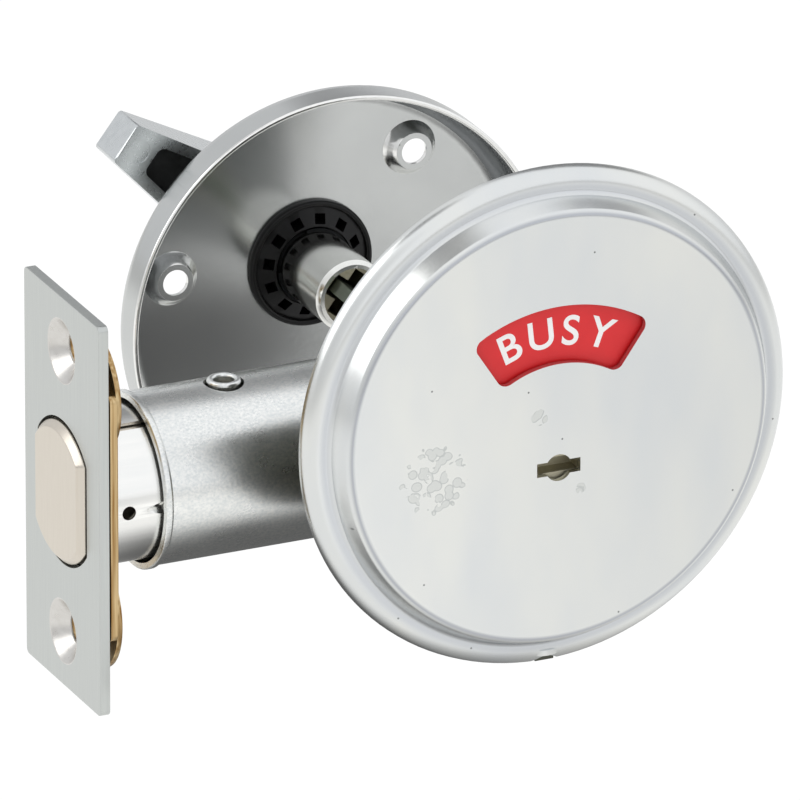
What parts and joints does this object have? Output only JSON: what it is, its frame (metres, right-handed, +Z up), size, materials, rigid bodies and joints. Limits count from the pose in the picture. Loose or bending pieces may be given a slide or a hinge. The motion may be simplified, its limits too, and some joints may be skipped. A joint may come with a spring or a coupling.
{
  "type": "toilet indicator bolt",
  "caption": "Tubular dead bolt for a toilet door with a round outside rose, indicator window and emergency slot, and an inside rose with thumbturn lever.",
  "frame": {"origin": "centre of the faceplate's front face, on the bolt's axis, midway between its two screws", "axes": "+X along the bolt into the door, +Y through the door from the outside rose to the inside rose, +Z up"},
  "size_m": [0.0975, 0.1011, 0.0789],
  "materials": {
    "satin_steel": "satin brushed",
    "yellow_zinc": "yellow zinc plating",
    "bright_zinc": "bright zinc plating",
    "nickel": "satin nickel",
    "dark_steel": "plain steel",
    "zinc_casting": "raw zinc casting",
    "satin_chrome": "satin",
    "white_plastic": "moulded",
    "red_field": "printed",
    "green_field": "printed",
    "black_plastic": "moulded"
  },
  "bodies": {
    "case": {"faceplate": "satin_steel", "backplate": "yellow_zinc", "inner_tube": "bright_zinc", "outer_sleeve": "bright_zinc", "backset_pin": "bright_zinc", "hub_case": "bright_zinc", "hub_washers": "dark_steel", "detent_spring": "dark_steel", "outside_rose": "satin_chrome", "outside_plate": "bright_zinc", "mounting_posts": "zinc_casting", "inside_rose": "satin_chrome", "bearing_ring": "black_plastic"},
    "bolt": {"bolt_head": "nickel", "saw_pin": "dark_steel", "bolt_link": "bright_zinc", "link_rivet": "dark_steel"},
    "crank": {"crank_hub": "zinc_casting", "crank_pin": "dark_steel"},
    "spindle": {"slot_hub": "zinc_casting", "tail_bar": "yellow_zinc", "indicator_wheel": "white_plastic", "engaged_label": "red_field", "vacant_label": "green_field", "hub_clip": "dark_steel", "spring_washer": "dark_steel"},
    "turn": {"thumbturn_lever": "satin_chrome", "spindle_tube": "bright_zinc", "spindle_insert": "zinc_casting", "lever_pin": "dark_steel", "turn_clip": "dark_steel", "turn_washer": "white_plastic"}
  },
  "joints": [
    {"name": "turn_hinge", "type": "hinge", "parent": "case", "child": "turn", "pos_m": [0.06032, 0, 0.0048], "axis": [0, 1, 0], "range_deg": [0, 90]},
    {"name": "spindle_hinge", "type": "hinge", "parent": "case", "child": "spindle", "pos_m": [0.06032, 0, 0.0048], "axis": [0, 1, 0], "range_deg": [0, 90]},
    {"name": "crank_hinge", "type": "hinge", "parent": "case", "child": "crank", "pos_m": [0.06032, 0, 0.0048], "axis": [0, 1, 0], "range_deg": [0, 90]},
    {"name": "bolt_slide", "type": "slide", "parent": "case", "child": "bolt", "axis": [-1, 0, 0], "range_m": [0, 0.0254]}
  ],
  "couplings": [
    {"joint": "spindle_hinge", "follows": "turn_hinge", "ratio": 1},
    {"joint": "crank_hinge", "follows": "turn_hinge", "ratio": 1},
    {"joint": "bolt_slide", "follows": "turn_hinge", "m_per_rad": 0.01617}
  ]
}
